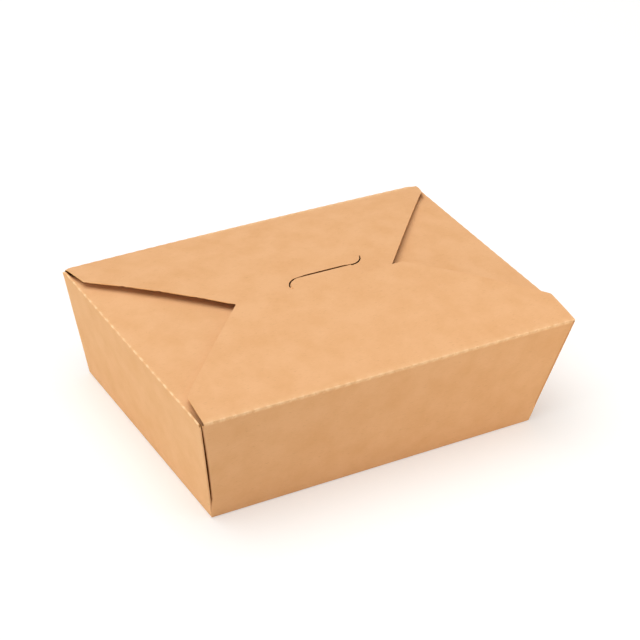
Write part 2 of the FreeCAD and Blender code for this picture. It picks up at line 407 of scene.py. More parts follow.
class NodeSheet:
    """A node tree that is filled one node at a time."""

    def __init__(self, tree: bpy.types.NodeTree) -> None:
        """Starts with an empty tree."""
        self.tree = tree
        tree.nodes.clear()

    def add(self, kind: str, settings: dict[str, Any] | None = None,
            inputs: dict[Any, Any] | None = None) -> bpy.types.Node:
        """Adds a node.

        Args:
            kind: the node's type.
            settings: its properties.
            inputs: for each input socket a value or the output socket that feeds it.

        Returns:
            The new node.
        """
        node = self.tree.nodes.new(kind)
        for key, value in (settings or {}).items():
            setattr(node, key, value)
        for key, value in (inputs or {}).items():
            if isinstance(value, Socket):
                self.tree.links.new(value, node.inputs[key])
            else:
                node.inputs[key].default_value = value
        return node


class BoardShader:
    """Builds the material of one board finish on the object's own coordinates."""

    def __init__(self, finish: BoardFinish) -> None:
        """Builds the material of a finish.

        Args:
            finish: the look to build.
        """
        self.finish = finish
        self.material = bpy.data.materials.new(finish.name)
        self.material.use_nodes = True
        self.nodes = NodeSheet(self.material.node_tree)
        self.build()

    def noise(self, size: Spot, detail: float, turn: float = 0.0) -> Socket:
        """Noise in blotches.

        Args:
            size: what a blotch measures along X, Y and Z, in millimetres.
            detail: how many finer layers it has.
            turn: by how much the blotches are turned out of the axes, in radians.

        Returns:
            The noise's value.
        """
        place = self.nodes.add("ShaderNodeTexCoord").outputs["Object"]
        turned = self.nodes.add("ShaderNodeMapping", {"vector_type": "POINT"}, {
            "Vector": place, "Rotation": (turn, turn * 0.7, turn * 0.4),
            "Scale": tuple(1 / (length * MM) for length in size)}).outputs["Vector"]
        return self.nodes.add("ShaderNodeTexNoise", {}, {
            "Vector": turned, "Scale": 1.0, "Detail": detail, "Roughness": 0.55}).outputs["Fac"]

    def ramp(self, value: Any, low: float, high: float, top: float = 1.0) -> Socket:
        """Stretches a value between two limits to between 0 and a top value."""
        return self.nodes.add("ShaderNodeMapRange", {"clamp": True}, {
            "Value": value, "From Min": low, "From Max": high,
            "To Min": 0.0, "To Max": top}).outputs["Result"]

    def mix(self, factor: Any, first: Any, second: Any) -> Socket:
        """Mixes two colours."""
        return self.nodes.add("ShaderNodeMix", {"data_type": "RGBA"}, {
            0: factor, 6: first, 7: second}).outputs[2]

    def attribute(self, name: str) -> Socket:
        """Reads what the mesh says at each point."""
        return self.nodes.add("ShaderNodeAttribute", {"attribute_name": name}).outputs["Fac"]

    def bump(self, height: Any, depth: float, under: dict[str, Any]) -> Socket:
        """Relief of a depth in millimetres, over another one if that is given."""
        return self.nodes.add("ShaderNodeBump", {}, {
            "Height": height, "Strength": 1.0, "Distance": depth * MM, **under}).outputs["Normal"]

    def build(self) -> None:
        """Lays mottling, fibres, flecks, scores and painted shade in the corner slits over the
        ground colour.
        """
        finish = self.finish
        # Faint clouds about 14 mm across, where the pulp lies thicker or thinner.
        mottle = self.ramp(self.noise((14, 14, 14), 3.0), 0.35, 0.7)
        colour = self.mix(mottle, linear(finish.ground), linear(finish.shade))
        # Fibres 2.6 mm long. Real ones are about 0.03 mm wide, too fine to show, so these are
        # drawn 0.35 mm wide.
        fibres = self.noise((2.6, 0.35, 0.35), 2.0, 0.5)
        dark = self.ramp(fibres, 0.62, 0.78, 0.35 * finish.fibre)
        colour = self.mix(dark, colour, linear(finish.fleck))
        light = self.ramp(fibres, 0.36, 0.22, 0.5 * finish.fibre)
        colour = self.mix(light, colour, linear(finish.pale))
        # Sparse specks of bark, 1.3 mm long.
        specks = self.ramp(self.noise((1.3, 0.5, 0.5), 1.0, 1.1), 0.76, 0.86, 0.25)
        colour = self.mix(specks, colour, linear(finish.fleck))
        # Nicks in the scores, torn paler in patches of 1.6 mm.
        torn = self.ramp(self.noise((1.6, 1.6, 1.6), 1.0, 0.3), 0.2, 0.52)
        worn = self.nodes.add("ShaderNodeMath", {"operation": "MULTIPLY"}, {
            0: self.attribute("score"), 1: torn}).outputs[0]
        colour = self.mix(worn, colour, linear(finish.score))
        # Painted shade deep in the upright corners' slits, where the gap attribute marks them.
        colour = self.mix(self.attribute("gap"), colour, linear(finish.gap))
        # The board's cockling, waves about 25 mm long, and on it the fibres' own relief.
        cockle = self.bump(self.noise((26, 22, 22), 1.0), finish.cockle, {})
        grain = self.bump(fibres, 0.02, {"Normal": cockle})
        shader = self.nodes.add("ShaderNodeBsdfPrincipled", {}, {
            "Base Color": colour, "Roughness": finish.roughness, "Normal": grain,
            "Specular IOR Level": finish.gloss}).outputs["BSDF"]
        self.nodes.add("ShaderNodeOutputMaterial", {}, {"Surface": shader})


# Unbleached kraft board, outside: an even warm tan with faint clouds, short fibres both
# darker and paler than the ground, and a dull surface with hardly any sheen.
KRAFT_OUTSIDE = BoardFinish(
    "kraft_board_outside", ground="#efb987", shade="#e9b17d", fleck="#b57f4e", pale="#fbcb97",
    score="#fdd2a2", roughness=0.85, gloss=0.05, cockle=0.5)
# The same board inside, lined against grease: a little darker, calmer and smoother.
KRAFT_LINED = BoardFinish(
    "kraft_board_lined", ground="#cca570", shade="#c59d67", fleck="#9c744a", pale="#efc595",
    score="#efc595", roughness=0.5, gloss=0.15, cockle=0.4, fibre=0.5)
# Raw cut edge of the board: paler, since the knife lays open the fibres.
KRAFT_CUT = BoardFinish(
    "kraft_board_cut_edge", ground="#f0bb80", shade="#e8b073", fleck="#c08d5c", pale="#fbd8ae",
    score="#fbd8ae", roughness=0.9)
# The board's cut edge deep in the lock slit, drawn as painted shade: a saturated brown, since
# hardly any light reaches there.
SLIT_EDGE_PAINTED_SHADE = BoardFinish(
    "kraft_board_slit_painted_shade", ground="#a5642b", shade="#9a5c26", fleck="#8a5220", pale="#b0743c",
    score="#b0743c", roughness=0.9)


@dataclass(frozen=True)
class LockSlit:
    """The S-shaped slit in the rear flap that takes the tongue."""

    left: float = -8.9 * MM  # where its straight line begins
    right: float = 24.6 * MM  # and where it ends
    line: float = 6.95 * MM  # how far behind the middle the line runs
    hook: float = 8.5 * MM  # radius of the hook at each end
    left_turn: float = 78.0  # how far the left hook turns, in degrees
    right_turn: float = 75.0
    width: float = 2.5 * MM  # of the straight line, which the tongue holds open
    hook_width: float = 1.15 * MM
    tip_width: float = 0.6 * MM
    hook_steps: int = 14
    line_steps: int = 16
    opening: int = 6  # the line opens fully within its length over this number

    def left_centre(self) -> Vector:
        """Centre of the left hook in plan."""
        return Vector((self.left, self.line - self.hook))

    def right_centre(self) -> Vector:
        """Centre of the right hook in plan."""
        return Vector((self.right, self.line + self.hook))

    def hook_point(self, centre: Vector, degrees: float) -> Vector:
        """Point of a hook in the direction given in degrees."""
        turn = math.radians(degrees)
        return centre + Vector((math.cos(turn), math.sin(turn))) * self.hook

    def path(self) -> list[tuple[Vector, float]]:
        """Centre line of the slit, from the left tip to the right one.

        Returns:
            Points in plan with the slit's half width at each.
        """
        shares = [step / self.hook_steps for step in range(self.hook_steps + 1)]
        spots = [
            (self.hook_point(self.left_centre(), 90 + self.left_turn * (1 - share)),
             self.tip_width + (self.hook_width - self.tip_width) * share) for share in shares]
        for step in range(1, self.line_steps):
            share = step / self.line_steps
            spread = smooth_step(self.opening * min(share, 1 - share))
            spots.append((Vector((self.left + (self.right - self.left) * share, self.line)),
                          self.hook_width + (self.width - self.hook_width) * spread))
        spots += [
            (self.hook_point(self.right_centre(), -90 + self.right_turn * share),
             self.hook_width + (self.tip_width - self.hook_width) * share) for share in shares]
        return [(spot, width / 2) for spot, width in spots]


@dataclass(frozen=True)
class CornerPlay:
    """How loosely an upright corner is folded: its radius, and its slit's width."""

    radius: float
    gap_top: float
    gap_middle: float


@dataclass(frozen=True)
class RimWarp:
    """A rim bent by hand: how far out, about which place along it, and over what reach."""

    side: Side
    push: float
    middle: float
    reach: float


@dataclass(frozen=True)
class Pinch:
    """A rim corner pressed down: where, how far, and how far round it that shows."""

    place: Spot
    down: float
    reach: float


@dataclass
class BoardSheet:
    """What every part of the folded sheet has: its sizes, folds, scores and thickness."""

    sizes: BoxSizes
    columns: int = 140  # along the long sides
    ridge: float = 0.16 * MM  # height of the torn nicks on a fold
    fold_steps: int = 6
    spread_steps: int = 3  # after how many rows a fold is as wide as its flap
    flap_rows: int = 30
    crease: float = math.radians(32)  # folds sharper than this show an edge
    score_start: float = 0.05 * MM  # above the walls' top
    long_score: Pair = (0.5, 6.0)  # strength between the nicks, and how sharp these are
    end_score: Pair = (0.0, 8.0)
    score_in: Pair = (0.6 * MM, 1.7)  # step of the fading inwards, and how many there are
    score_down: Pair = (0.4 * MM, 3.2)  # the same down the wall
    slit_depth: Pair = (0.95 * MM, 1.9 * MM)  # where a corner's slit gets painted shade, in from the end
    slit_start: Pair = (0.3, 0.4)  # in from the side in millimetres, and over how many
    slit_end: Pair = (9.0, 2.0)

    def long_bow(self, side: Side) -> RimFold:
        """Fold and bow of a long flap; the rear one lies a board's thickness lower.

        Args:
            side: front or rear.

        Returns:
            The fold.
        """
        sizes = self.sizes
        lower = 0.0 if side is Side.FRONT else sizes.board + sizes.flap_gap
        rise = sizes.flap_rise - lower
        root = sizes.half_width - sizes.board / 2
        radius = (root ** 2 + rise ** 2) / (2 * rise) + sizes.board / 2
        return RimFold(sizes, side, Vector((0.0, sizes.rim + rise - radius)), radius)

    def wall_top(self) -> float:
        """Height where the walls end and the rim folds begin."""
        return self.sizes.rim - self.sizes.rim_drop

    def above_walls(self, face: bmesh.types.BMFace) -> bool:
        """True for a face that lies above the walls, so on a flap or its fold."""
        return face.calc_center_median().z > self.wall_top()

    def widen(self, wall: Pair, flap: Pair) -> list[Pair]:
        """How far each row of a fold reaches left and right, from the wall's to the flap's."""
        shares = [smooth_step(step / self.spread_steps) for step in range(self.fold_steps + 1)]
        return [
            (wall[0] + (flap[0] - wall[0]) * share, wall[1] + (flap[1] - wall[1]) * share)
            for share in shares]

    def fold_rules(self, fold: RimFold, widths: Sequence[Pair]) -> list[Rule]:
        """Rules that lay one row of points after another over a rim fold.

        Args:
            fold: the fold.
            widths: how far the row reaches to either side at each step, the wall's first.

        Returns:
            One rule for each new row.
        """
        centre = fold.fold_centre()
        points = fold.fold_points(self.fold_steps)

        def rule(number: int) -> Rule:
            """Makes the rule for one row.

            Args:
                number: the row's number on the fold.

            Returns:
                The rule.
            """
            before = widths[max(0, number - 1)]
            stretch = [now / then for now, then in zip(widths[number], before)]
            crown = math.sin(math.pi * number / self.fold_steps)

            def lay(point: Vector) -> Vector:
                """Lays a point of the row.

                Args:
                    point: where it was in the row before.

                Returns:
                    Where it goes, on a nick a little higher.
                """
                along = fold.side.along(point)
                along *= stretch[0] if along < 0 else stretch[1]
                lift = self.ridge * crown * score_ridge(along, self.sizes.score_pitch)
                spot = points[number] + (points[number] - centre).normalized() * lift
                return fold.side.spot(spot.x, along, spot.y)

            return lay

        return [rule(number) for number in range(self.fold_steps + 1)]

    def bow_rules(self, fold: RimFold, marks: Sequence[float]) -> list[Rule]:
        """Rules that lay rows on the flap at given distances out from the middle."""
        def rule(spot: Vector) -> Rule:
            """Rule for one row."""
            return lambda point: fold.side.spot(spot.x, fold.side.along(point), spot.y)

        return [rule(spot) for spot in fold.bow_points(marks)]

    def trim_outline(self, bench: Bench, test: Test, corners: Sequence[Pair],
                     rounding: float) -> None:
        """Cuts a flap to a convex outline with rounded corners.

        Args:
            bench: the sheet under edit.
            test: picks the flap's faces.
            corners: the outline's corners in plan, anticlockwise seen from above.
            rounding: radius of the corners between the outline's edges.
        """
        spots = [Vector(corner) for corner in corners]
        for first, second in zip(spots, spots[1:]):
            run = (second - first).normalized()
            bench.trim(test, first.to_3d(), Vector((run.y, -run.x, 0.0)))
        for before, corner, after in zip(spots, spots[1:], spots[2:]):
            run_in = (corner - before).normalized()
            run_out = (after - corner).normalized()
            turn = -run_in.angle_signed(run_out, 0.0)
            middle = (Vector((run_in.y, -run_in.x)) + Vector((run_out.y, -run_out.x))).normalized()
            centre = corner - middle * (rounding / math.cos(turn / 2))
            for share in (-0.25, 0.0, 0.25):
                outward = Matrix.Rotation(turn * share, 2) @ middle
                bench.trim(test, (centre + outward * rounding).to_3d(), outward.to_3d())

    def thicken(self, bench: Bench) -> bpy.types.Object:
        """Gives the finished sheet its thickness, a lined inner face and raw cut edges.

        Args:
            bench: the sheet under edit.

        Returns:
            The board as an object.
        """
        piece = bench.finish()
        LOG.info("%s: %d faces before its thickness", piece.name, len(piece.data.polygons))
        for finish in (KRAFT_OUTSIDE, KRAFT_LINED, KRAFT_CUT):
            piece.data.materials.append(finish.material())
        apply_modifier(piece, "SOLIDIFY", {
            "thickness": self.sizes.board, "offset": -1.0, "use_even_offset": True,
            "thickness_clamp": 1.0, "material_offset": 1, "material_offset_rim": 2})
        return piece

    def score_at(self, point: Vector) -> float:
        """How strongly a point lies on a cut-and-crease score.

        Args:
            point: a vertex of the board.

        Returns:
            From 0 to 1.
        """
        sizes = self.sizes
        if point.z < self.wall_top() + self.score_start:
            return 0.0
        near_side = sizes.half_width - abs(point.y)
        near_end = sizes.half_length - abs(point.x)
        near, along, ground, sharp = min(
            (near_side, point.x, *self.long_score), (near_end, point.y, *self.end_score))
        (in_step, in_count), (down_step, down_count) = self.score_in, self.score_down
        crown = smooth_step(in_count - near / in_step) * smooth_step(
            (point.z - sizes.rim) / down_step + down_count)
        return crown * (ground + (1 - ground) * score_ridge(along, sizes.score_pitch, sharp))

    def painted_slit_shade_at(self, point: Vector) -> float:
        """How much painted shade a point gets for lying deep in the slit of an upright corner.

        Args:
            point: a vertex of the board.

        Returns:
            From 0 to 1.
        """
        into_end = self.sizes.length_at(point.z) - abs(point.x)
        into_side = (self.sizes.width_at(point.z) - abs(point.y)) / MM
        shallow, deep = self.slit_depth
        if not shallow < into_end < deep or point.z > self.wall_top() - SAME:
            return 0.0
        (start, start_over), (end, end_over) = self.slit_start, self.slit_end
        return smooth_step((into_side - start) / start_over) * smooth_step(
            (end - into_side) / end_over)

    def paint(self, piece: bpy.types.Object) -> None:
        """Writes where scores lie, and how much painted shade the corner slits get, into the mesh,
        and shades it smooth.

        Args:
            piece: the board as an object.
        """
        for name, rule in (("score", self.score_at), ("gap", self.painted_slit_shade_at)):
            layer = piece.data.attributes.new(name, "FLOAT", "POINT")
            layer.data.foreach_set("value", [rule(vertex.co) for vertex in piece.data.vertices])
        choose(piece)
        bpy.ops.object.shade_smooth_by_angle(angle=self.crease)


@dataclass
class Tray(BoardSheet):
    """Base, walls, glued corner webs, end flaps and rear flap, all one folded sheet."""

    apex: float = 0.0  # where the corner slits begin, known once the walls are divided
    end_columns: int = 90  # along the ends
    rows: int = 16  # up the walls
    loose_corner: CornerPlay = CornerPlay(1.2 * MM, 0.3 * MM, 0.5 * MM)
    tight_corner: CornerPlay = CornerPlay(0.6 * MM, 0.03 * MM, 0.05 * MM)
    edge_radius: float = 0.465 * MM  # of the end walls' folded edges
    corner_ease: float = 9.0 * MM  # height over which a corner opens out of its point
    panel_bulge: float = 0.35 * MM
    end_flap_length: float = 70.0 * MM
    left_insets: Pair = (1.2 * MM, 1.4 * MM)  # of the flap's root, at the front and the rear
    right_insets: Pair = (5.0 * MM, 5.0 * MM)
    end_flap_narrow: float = 22.0 * MM  # how much narrower it ends, at each side
    end_flap_rise: float = 3.5 * MM
    end_flap_rows: int = 20
    close_rows: Pair = (0.6 * MM, 3.0 * MM)  # pitch next to the fold, and how far in it goes
    left_press: Pair = (5.0 * MM, 2.8 * MM)  # by the long flaps, at the front and the rear
    right_press: Pair = (2.8 * MM, 2.8 * MM)
    press_reach: float = 17.0 * MM  # in from the flap's side
    press_start: float = 2.6 * MM  # in from its fold
    held_room: float = 0.5 * MM  # left under the long flaps
    held_ease: float = 0.8 * MM
    rear_root: Pair = (1.8 * MM, -0.9 * MM)  # insets at the left and the right
    rear_corner_left: Pair = (-108.5 * MM, 54.5 * MM)
    rear_corner_right: Pair = (108.8 * MM, 65.9 * MM)
    rear_edge: Pair = (-45.7 * MM, 39.1 * MM)
    rear_overlap: float = 6.7 * MM  # past the middle, under the front flap
    warps: tuple[RimWarp, ...] = (
        RimWarp(Side.REAR, 0.95 * MM, 60.0 * MM, 99.7 * MM),
        RimWarp(Side.RIGHT, -0.35 * MM, 20.0 * MM, 96.0 * MM))
    pinches: tuple[Pinch, ...] = (
        Pinch((-111 * MM, 74.7 * MM, 65.8 * MM), 1.2 * MM, 3.6 * MM),
        Pinch((111 * MM, 77.0 * MM, 66.0 * MM), 0.8 * MM, 5.0 * MM),
        Pinch((-111 * MM, -76.5 * MM, 65.8 * MM), 0.4 * MM, 5.0 * MM))
    rounding: float = 1.2 * MM  # of the rear flap's corners
    end_rounding: float = 3.6 * MM
    slit: LockSlit = LockSlit()
    cutter_span: Pair = (-5.0 * MM, 20.0 * MM)  # below and above the rim

    def start(self) -> Bench:
        """Makes the open tray with sharp upright corners and a folded base edge.

        Returns:
            The sheet under edit.
        """
        sizes = self.sizes
        top = self.wall_top()
        bpy.ops.mesh.primitive_cube_add(
            size=1, location=(0, 0, top / 2),
            scale=(2 * sizes.length_at(0), 2 * sizes.width_at(0), top))
        bench = Bench("kraft_tray")
        bench.pick("VERT", lambda vertex: vertex.co.z > top / 2)
        bench.place(lambda point: Vector((
            math.copysign(sizes.length_at(top), point.x),
            math.copysign(sizes.width_at(top), point.y), top)))
        bench.pick("FACE", lambda face: face.normal.z > FACING)
        bpy.ops.mesh.delete(type="ONLY_FACE")
        bench.pick("EDGE", lambda edge: max(vertex.co.z for vertex in edge.verts) < top / 2)
        bpy.ops.mesh.bevel(offset=sizes.base_fold, segments=4, affect="EDGES")
        bench.divide(0, self.columns - 1)
        bench.divide(1, self.end_columns - 1)
        bench.divide(2, self.rows - 1)
        return bench

    def split_height(self, bench: Bench) -> float:
        """Height of the lowest wall row above the base fold, where the corner slits begin."""
        above = self.sizes.base_fold * 1.5
        return min(round(v.co.z, 6) for v in bench.mesh().verts if v.co.z > above)

    def play(self, end: float, side: Side) -> CornerPlay:
        """How loose the corner at an end of a long side is; only the front left one opens."""
        return self.loose_corner if end < 0 and side is Side.FRONT else self.tight_corner

    def corner_chain(self, end: float, side: Side) -> list[Row]:
        """Path of a folded corner, from the long wall round the web to the end wall.

        Args:
            end: -1 for the left end of the box, 1 for the right one.
            side: the long wall at the corner.

        Returns:
            For each row a function from height to (in from the end wall's face,
            in from the long wall's face).
        """
        sizes = self.sizes
        rim, apex, play = sizes.rim, self.apex, self.play(end, side)
        end_slant = math.hypot(1.0, sizes.end_lean / rim)
        side_slant = math.hypot(1.0, sizes.side_lean / rim)
        edge_angle = math.atan(sizes.side_lean / rim / end_slant)
        side_angle = math.atan(sizes.end_lean / rim / side_slant)
        web_half = (math.pi / 2 - edge_angle - side_angle) / 2
        web_run = math.tan(web_half - edge_angle) * end_slant + sizes.side_lean / rim

        def ease(z: float) -> float:
            """Opens the corner out of its point."""
            return smooth_step((z - apex) / self.corner_ease)

        def gap(z: float) -> float:
            """Width of the slit."""
            share = (rim - z) / (rim - apex)
            return play.gap_top + play.gap_middle * math.sin(math.pi * min(1.0, share))

        def depth(z: float) -> float:
            """Outer face of the web's first layer, in from the end wall's face."""
            return ease(z) * (2 * self.edge_radius + gap(z))

        def radius(z: float) -> float:
            """Radius of the long wall's corner fold."""
            return ease(z) * play.radius

        def edge(z: float) -> float:
            """Radius of the end wall's folded edge."""
            return ease(z) * self.edge_radius

        def reach(z: float) -> float:
            """How far the web reaches along the end wall."""
            return max(0.0, z - apex) / (rim - apex) * rim * web_run

        def corner_fold(turn: float) -> Row:
            """Row on the long wall's corner fold."""
            return lambda z: (depth(z) + radius(z) * (1 - math.sin(turn)),
                              radius(z) * (1 - math.cos(turn)))

        def first_layer(share: float) -> Row:
            """Row on the layer that hangs from the long wall."""
            return lambda z: (depth(z), radius(z) + (reach(z) - radius(z)) * share)

        def web_fold(turn: float) -> Row:
            """Row on the fold at the web's free edge, a half circle between the layers."""
            return lambda z: (
                2 * edge(z) + (depth(z) - 2 * edge(z)) / 2 * (1 + math.cos(turn)),
                reach(z) + (depth(z) - 2 * edge(z)) / 2 * math.sin(turn))

        def second_layer(share: float) -> Row:
            """Row on the layer glued to the end wall."""
            return lambda z: (2 * edge(z), edge(z) + (reach(z) - edge(z)) * share)

        def edge_fold(turn: float) -> Row:
            """Row on the end wall's folded edge."""
            return lambda z: (edge(z) * (1 + math.cos(turn)), edge(z) * (1 - math.sin(turn)))

        steps = self.fold_steps
        quarters = [math.pi / (2 * steps) * step for step in range(1, steps + 1)]
        halves = [math.pi / steps * step for step in range(1, steps + 1)]
        return (
            [corner_fold(turn) for turn in quarters]
            + [first_layer(share) for share in (0.25, 0.5, 0.75, 1.0)]
            + [web_fold(turn) for turn in halves[1::2]]
            + [second_layer(share) for share in (0.75, 0.5, 0.25, 0.0)]
            + [edge_fold(turn) for turn in halves]
        )

    def open_corners(self, bench: Bench) -> None:
        """Splits the upright corners and folds the webs in behind the end walls.

        Args:
            bench: the sheet under edit.
        """
        sizes = self.sizes
        self.apex = apex = self.split_height(bench)

        def upright_corner(edge: bmesh.types.BMEdge) -> bool:
            """True for an edge of an upright corner above the apex."""
            return all(
                vertex.co.z > apex - SAME
                and abs(abs(vertex.co.x) - sizes.length_at(vertex.co.z)) < NEAR
                and abs(abs(vertex.co.y) - sizes.width_at(vertex.co.z)) < NEAR
                for vertex in edge.verts)

        bench.pick("EDGE", upright_corner)
        bpy.ops.mesh.edge_split(type="EDGE")
        corners = [(end, side) for end in (-1.0, 1.0) for side in (Side.FRONT, Side.REAR)]
        starts = {corner: self.corner_fold_start(*corner) for corner in corners}
        for side in Side:
            def wall_vertex(vertex: bmesh.types.BMVert, side: Side = side) -> bool:
                """True for a vertex of the side's wall above the apex."""
                return vertex.co.z > apex + SAME and any(
                    side.faces(face.normal) for face in vertex.link_faces)

            def draw_in(point: Vector, side: Side = side) -> Vector:
                """Narrows the wall so that its corner folds have room.

                Args:
                    point: where a vertex of the wall is.
                    side: the wall's side.

                Returns:
                    Where it goes.
                """
                near = Side.FRONT if point.y < 0 else Side.REAR
                into_end, into_side = starts[math.copysign(1.0, point.x), near](point.z)
                if side.is_long:
                    half = sizes.length_at(point.z)
                    return Vector((point.x * (half - into_end) / half, point.y, point.z))
                half = sizes.width_at(point.z)
                return Vector((point.x, point.y * (half - into_side) / half, point.z))

            bench.pick("VERT", wall_vertex)
            bench.place(draw_in)
        for end, side in corners:
            self.fold_web(bench, end, side)

    def corner_fold_start(self, end: float, side: Side) -> Row:
        """Where the walls' flat faces end at a corner.

        Args:
            end: -1 for the left end of the box, 1 for the right one.
            side: the long wall at the corner.

        Returns:
            A function from height to (in from the end wall's face, in from the long
            wall's face).
        """
        chain = self.corner_chain(end, side)
        wall_fold, edge_fold = chain[self.fold_steps - 1], chain[-1]
        return lambda z: (sum(wall_fold(z)), edge_fold(z)[1])

    def fold_web(self, bench: Bench, end: float, side: Side) -> None:
        """Folds one corner web from the long wall's edge round to the end wall.

        Args:
            bench: the sheet under edit.
            end: -1 for the left end of the box, 1 for the right one.
            side: the long wall at the corner.
        """
        sizes = self.sizes
        upright = 0.5 * MM

        def wall_edge(edge: bmesh.types.BMEdge) -> bool:
            """True for the long wall's open upright edge at this corner."""
            return (
                edge.is_boundary
                and side.faces(edge.link_faces[0].normal)
                and min(vertex.co.z for vertex in edge.verts) > self.apex - SAME
                and abs(edge.verts[0].co.z - edge.verts[1].co.z) > upright
                and edge.verts[0].co.x * end > 0)

        def rule(row: Row) -> Rule:
            """Placement rule for one row of the chain."""
            def lay(point: Vector) -> Vector:
                """Where a point of the row goes."""
                into_end, into_side = row(point.z)
                return Vector((
                    end * (sizes.length_at(point.z) - into_end),
                    side.value[1] * (sizes.width_at(point.z) - into_side), point.z))
            return lay

        bench.pick("EDGE", wall_edge)
        bench.grow(rule(row) for row in self.corner_chain(end, side))

    def bulge(self, bench: Bench) -> None:
        """Gives the flat walls the slight outward spring of folded board.

        Args:
            bench: the sheet under edit.
        """
        sizes = self.sizes
        for side in Side:
            def on_wall(vertex: bmesh.types.BMVert, side: Side = side) -> bool:
                """True for a vertex inside the side's wall."""
                return not vertex.is_boundary and all(
                    side.faces(face.normal) for face in vertex.link_faces)

            def spring(point: Vector, side: Side = side) -> Vector:
                """Moves a point out a little, most in the panel's middle.

                Args:
                    point: where a vertex of the wall is.
                    side: the wall's side.

                Returns:
                    Where it goes.
                """
                half = sizes.length_at(point.z) if side.is_long else sizes.width_at(point.z)
                across = max(0.0, 1 - (side.along(point) / half) ** 2)
                up = math.sin(math.pi * min(1.0, point.z / (sizes.rim - sizes.seam_drop)))
                return point + Vector(side.value).to_3d() * (self.panel_bulge * across * up)

            bench.pick("VERT", on_wall)
            bench.place(spring)

    def wall_reach(self, side: Side) -> Pair:
        """How far a long wall's flat face reaches at its top.

        Args:
            side: front or rear.

        Returns:
            Its reach to the left and to the right.
        """
        top = self.wall_top()
        full = self.sizes.length_at(top)
        left, right = (full - self.corner_fold_start(end, side)(top)[0] for end in (-1.0, 1.0))
        return left, right

    def rim_edge(self, side: Side, half: float) -> Test:
        """Finds a wall's top edge.

        Args:
            side: the wall's side.
            half: how far along the edge counts, to either side of the middle.

        Returns:
            A test for an edge.
        """
        top = self.wall_top()
        out = self.sizes.width_at(top) if side.is_long else self.sizes.length_at(top)
        return lambda edge: edge.is_boundary and all(
            abs(vertex.co.z - top) < SAME and side.out(vertex.co) > out - SAME
            and abs(side.along(vertex.co)) < half for vertex in edge.verts)

    def fold_rear_flap(self, bench: Bench) -> None:
        """Folds the rear flap over from the rear wall and cuts its outline.

        Args:
            bench: the sheet under edit.
        """
        sizes = self.sizes
        fold = self.long_bow(Side.REAR)
        bench.pick("EDGE", self.rim_edge(Side.REAR, sizes.half_length))
        left, right = (sizes.half_length - inset for inset in self.rear_root)
        bench.grow(self.fold_rules(fold, self.widen(self.wall_reach(Side.REAR), (left, right))))
        root = fold.fold_points(self.fold_steps)[-1].x
        bench.grow(self.bow_rules(fold, spaced(root, -self.rear_overlap, self.flap_rows)))
        corners = [
            (-left, root), self.rear_corner_left, (self.rear_edge[0], -self.rear_overlap),
            (self.rear_edge[1], -self.rear_overlap), self.rear_corner_right, (right, root)]
        self.trim_outline(bench, self.above_walls, corners, self.rounding)

    def fold_end_flap(self, bench: Bench, side: Side) -> None:
        """Folds an end flap in; it springs up until the long flaps hold it.

        Args:
            bench: the sheet under edit.
            side: left or right.
        """
        sizes, outward = self.sizes, side.value[0]
        rise, inner = self.end_flap_rise, sizes.half_length - self.end_flap_length
        radius = (self.end_flap_length ** 2 + rise ** 2) / (2 * rise)
        fold = RimFold(sizes, side, Vector((inner, sizes.rim + rise - radius)), radius)
        cover = self.long_bow(Side.REAR)
        insets, presses = (self.left_insets, self.left_press) if side is Side.LEFT else (
            self.right_insets, self.right_press)
        front, rear = (sizes.half_width - inset for inset in insets)
        bench.pick("EDGE", self.rim_edge(side, sizes.half_width))
        near, far = (max(abs(vertex.co.y) for vertex in bench.mesh().verts
                         if vertex.select and vertex.co.y * towards > 0) for towards in (-1, 1))
        bench.grow(self.fold_rules(fold, self.widen((near, far), (front, rear))))
        root = fold.fold_points(self.fold_steps)[-1].x
        pitch, close = self.close_rows
        marks = [root - pitch * row for row in range(1, round(close / pitch))]
        marks += [root - close, *spaced(root - close, inner, self.end_flap_rows)]
        bench.grow(self.bow_rules(fold, marks))
        narrow = sizes.half_width - self.end_flap_narrow
        widest = max(front, rear) + NEAR
        skin = 0.05 * MM
        corners = [(outward * root, -front), (outward * inner, -narrow),
                   (outward * inner, narrow), (outward * root, rear)]

        def flap_part(point: Vector) -> bool:
            """Tells whether a point is on this end flap, inside its fold.

            Args:
                point: a place on the sheet.

            Returns:
                True if it is.
            """
            out = side.out(point)
            if not inner - MM < out < root + SAME or abs(point.y) > widest:
                return False
            return abs(fold.bow_points([out])[0].y - point.z) < skin

        self.trim_outline(
            bench, lambda face: flap_part(face.calc_center_median()),
            corners if side is Side.LEFT else corners[::-1], self.end_rounding)

        def hold_down(point: Vector) -> Vector:
            """Presses the flap down towards the long flaps that close over it.

            Args:
                point: where a vertex of the flap is.

            Returns:
                Where it goes.
            """
            limit, press = (rear, presses[1]) if point.y > 0 else (front, presses[0])
            near_side = smooth_step((abs(point.y) - limit) / self.press_reach + 1)
            inside = smooth_step((root - side.out(point)) / self.press_start)
            ceiling = cover.bow_points([abs(point.y)])[0].y - sizes.board - self.held_room
            over = (point.z - ceiling) / self.held_ease
            pressed = self.held_ease * math.log1p(math.exp(over))
            return point - Vector((0, 0, (press * near_side + pressed) * inside))

        bench.pick("VERT", lambda vertex: flap_part(vertex.co))
        bench.place(hold_down)

    def warp_rim(self, bench: Bench) -> None:
        """Gives the rim the slight unevenness of a box closed by hand.

        Args:
            bench: the sheet under edit.
        """
        sizes = self.sizes
        for warp in self.warps:
            def bow(point: Vector, warp: RimWarp = warp) -> Vector:
                """Moves a point with the rim, nothing at the base.

                Args:
                    point: where a vertex is.
                    warp: how the rim is bent.

                Returns:
                    Where it goes.
                """
                side = warp.side
                away = (side.along(point) - warp.middle) / warp.reach
                share = (point.z / sizes.rim) ** 2 * (side.out(point) / sizes.reach(side)) ** 2
                return point + side.spot(warp.push * (1 - away ** 2) * share, 0.0, 0.0)

